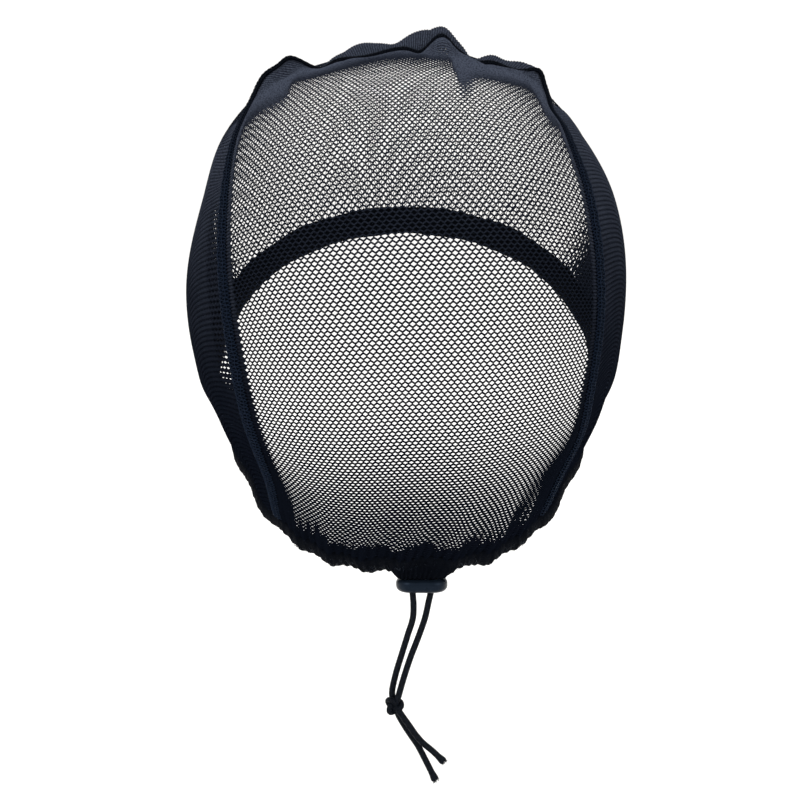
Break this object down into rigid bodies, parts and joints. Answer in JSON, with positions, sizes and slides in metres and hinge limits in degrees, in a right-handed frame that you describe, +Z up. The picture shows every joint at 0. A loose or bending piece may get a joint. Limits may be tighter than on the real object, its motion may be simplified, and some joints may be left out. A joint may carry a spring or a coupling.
{
  "type": "drawstring wig cap",
  "caption": "Black stretch-net wig cap with a raised seam round its back panel, a gathered drawstring casing and knotted elastic cords through an oval stopper at the nape.",
  "frame": {"origin": "inside the crown, where the top of the head carries the cap", "axes": "+Z up, +Y towards the back of the head, +X towards the wearer's left"},
  "size_m": [0.1535, 0.1929, 0.2551],
  "materials": {
    "net": "knitted nylon net, soft sheen",
    "seam_thread": "overlocked polyester thread",
    "casing_net": "gathered nylon net, matte",
    "stopper_rubber": "satin",
    "elastic_cord": "braided elastic, matte"
  },
  "bodies": {
    "root": {"back_panel": "net", "front_panel": "net", "panel_seam": "seam_thread", "hem_casing": "casing_net", "cord_stopper": "stopper_rubber", "drawcord_left": "elastic_cord", "drawcord_right": "elastic_cord", "cord_knot": "elastic_cord", "tail_left": "elastic_cord", "tail_right": "elastic_cord"}
  },
  "joints": []
}
